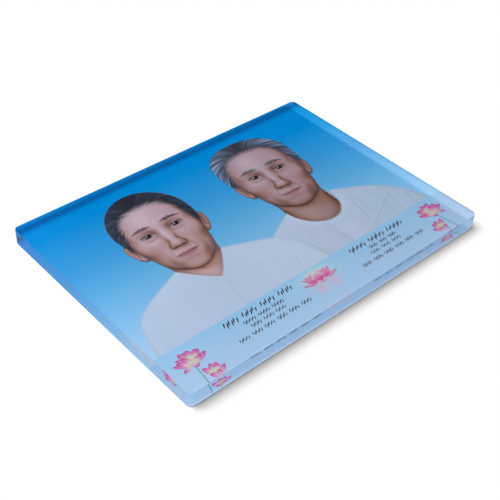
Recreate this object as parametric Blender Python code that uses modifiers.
"""Crystal photo block: a clear glass slab with a photographic print bonded to its back.

The block lies on its back, as it is laid on a table. Metres, +Z up. The origin is the centre of
the face it rests on, +X is the picture's right and +Y is the picture's top.
"""

import bmesh
import bpy

# Glass slab
SLAB_WIDTH = 0.345
SLAB_DEPTH = 0.250
SLAB_THICKNESS = 0.015
CORNER_RADIUS = 0.0048
ARRIS = 0.0005

# Thickness of each sheet laminated behind the slab
OPTICAL_ADHESIVE_THICKNESS = 0.0001
PRINT_THICKNESS = 0.0002
WHITE_FILM_THICKNESS = 0.0001
BACKING_ADHESIVE_THICKNESS = 0.00005
BACKING_THICKNESS = 0.0004

# How far the sheets stay inside the slab's walls, and the bond lines between them
BACKING_MARGIN = 0.0005
SEAL_WIDTH = 0.0003
SEAL_CLEARANCE = 0.00002
BOND_GAP = 0.00001

# Facets of the round edges
CORNER_SEGMENTS = 12
ARRIS_SEGMENTS = 2
ARRIS_ANGLE_LIMIT = 1.0

# A cutter runs this far past what it cuts
CUTTER_OVERRUN = 0.001


def new_collection(name):
    collection = bpy.data.collections.new(name)
    bpy.context.scene.collection.children.link(collection)
    return collection


def new_material(name, colour, roughness, transmission=0.0):
    material = bpy.data.materials.new(name)
    material.use_nodes = True
    shader = material.node_tree.nodes["Principled BSDF"]
    shader.inputs["Base Color"].default_value = (*colour, 1.0)
    shader.inputs["Roughness"].default_value = roughness
    shader.inputs["Metallic"].default_value = 0.0
    shader.inputs["Transmission Weight"].default_value = transmission
    return material


def new_sheet(name, margin, thickness, bottom, collection):
    """A sheet of the slab's outline moved in by the margin, with its corners rounded to match."""
    width = SLAB_WIDTH - 2 * margin
    depth = SLAB_DEPTH - 2 * margin
    bm = bmesh.new()
    bmesh.ops.create_cube(bm, size=1.0)
    bmesh.ops.scale(bm, vec=(width, depth, thickness), verts=bm.verts)
    bmesh.ops.translate(bm, vec=(0.0, 0.0, thickness / 2), verts=bm.verts)
    upright_edges = [edge for edge in bm.edges if edge.verts[0].co.xy == edge.verts[1].co.xy]
    bmesh.ops.bevel(
        bm,
        geom=upright_edges,
        affect="EDGES",
        offset_type="OFFSET",
        offset=CORNER_RADIUS - margin,
        segments=CORNER_SEGMENTS,
        profile=0.5,
    )
    mesh = bpy.data.meshes.new(name)
    bm.to_mesh(mesh)
    bm.free()
    sheet = bpy.data.objects.new(name, mesh)
    sheet.location.z = bottom
    collection.objects.link(sheet)
    return sheet


def finish_part(part, material):
    part.data.materials.append(material)
    part.data.shade_smooth()
    part.data.set_sharp_from_angle(angle=ARRIS_ANGLE_LIMIT)
    part.parent = block


for old in list(bpy.data.objects):
    bpy.data.objects.remove(old, do_unlink=True)

parts = new_collection("crystal_photo_block")
cutters = new_collection("cutters")

block = bpy.data.objects.new("block", None)
parts.objects.link(block)

# Heights of the stack, from the table up
backing_top = BACKING_THICKNESS
backing_adhesive_bottom = backing_top + BOND_GAP
white_film_bottom = backing_adhesive_bottom + BACKING_ADHESIVE_THICKNESS + BOND_GAP
print_bottom = white_film_bottom + WHITE_FILM_THICKNESS + BOND_GAP
optical_adhesive_bottom = print_bottom + PRINT_THICKNESS + BOND_GAP
slab_bottom = optical_adhesive_bottom + OPTICAL_ADHESIVE_THICKNESS + BOND_GAP

# The printed sheets end where the seal begins
seal_inner_margin = BACKING_MARGIN + SEAL_WIDTH
print_margin = seal_inner_margin + SEAL_CLEARANCE

# Protective backing: the stiff plastic sheet that the block rests on
protective_backing = new_sheet("protective_backing", BACKING_MARGIN, BACKING_THICKNESS, 0.0, parts)
finish_part(protective_backing, new_material("white_pvc", (0.80, 0.81, 0.82), 0.45))

# Backing adhesive: the pressure-sensitive layer that carries the backing
backing_adhesive = new_sheet(
    "backing_adhesive", print_margin, BACKING_ADHESIVE_THICKNESS, backing_adhesive_bottom, parts
)
finish_part(backing_adhesive, new_material("acrylic_adhesive", (0.88, 0.87, 0.82), 0.30))

# White film: keeps the table's colour from showing through the print
white_opaque_film = new_sheet(
    "white_opaque_film", print_margin, WHITE_FILM_THICKNESS, white_film_bottom, parts
)
finish_part(white_opaque_film, new_material("white_polyester_film", (0.90, 0.90, 0.90), 0.40))

# Print: the picture, on photographic film, facing up through the glass
photo_print = new_sheet("photo_print", print_margin, PRINT_THICKNESS, print_bottom, parts)
finish_part(photo_print, new_material("dye_print", (0.15, 0.38, 0.66), 0.35))

# Optical adhesive: the clear layer that bonds the print to the glass with no air between them
optical_adhesive = new_sheet(
    "optical_adhesive", print_margin, OPTICAL_ADHESIVE_THICKNESS, optical_adhesive_bottom, parts
)
finish_part(optical_adhesive, new_material("clear_adhesive", (0.97, 0.98, 1.0), 0.05, 1.0))

# Edge seal: a cured bead around the sheets, between the backing and the glass
seal_bottom = backing_top + BOND_GAP
seal_height = slab_bottom - BOND_GAP - seal_bottom
edge_seal = new_sheet("edge_seal", BACKING_MARGIN, seal_height, seal_bottom, parts)
finish_part(edge_seal, new_material("cured_resin", (0.86, 0.90, 0.94), 0.15))
seal_cutter = new_sheet(
    "seal_cutter",
    seal_inner_margin,
    seal_height + 2 * CUTTER_OVERRUN,
    seal_bottom - CUTTER_OVERRUN,
    cutters,
)
seal_cutter.parent = block
seal_cutter.hide_render = True
seal_cutter.display_type = "WIRE"
seal_cut = edge_seal.modifiers.new("sheet_pocket", "BOOLEAN")
seal_cut.operation = "DIFFERENCE"
seal_cut.solver = "EXACT"
seal_cut.object = seal_cutter

# Crystal slab: polished clear glass with round corners and a fine arris along its edges
crystal_slab = new_sheet("crystal_slab", 0.0, SLAB_THICKNESS, slab_bottom, parts)
finish_part(crystal_slab, new_material("crystal_glass", (0.95, 0.98, 1.0), 0.02, 1.0))
slab_arris = crystal_slab.modifiers.new("arris", "BEVEL")
slab_arris.width = ARRIS
slab_arris.segments = ARRIS_SEGMENTS
slab_arris.limit_method = "ANGLE"
slab_arris.angle_limit = ARRIS_ANGLE_LIMIT
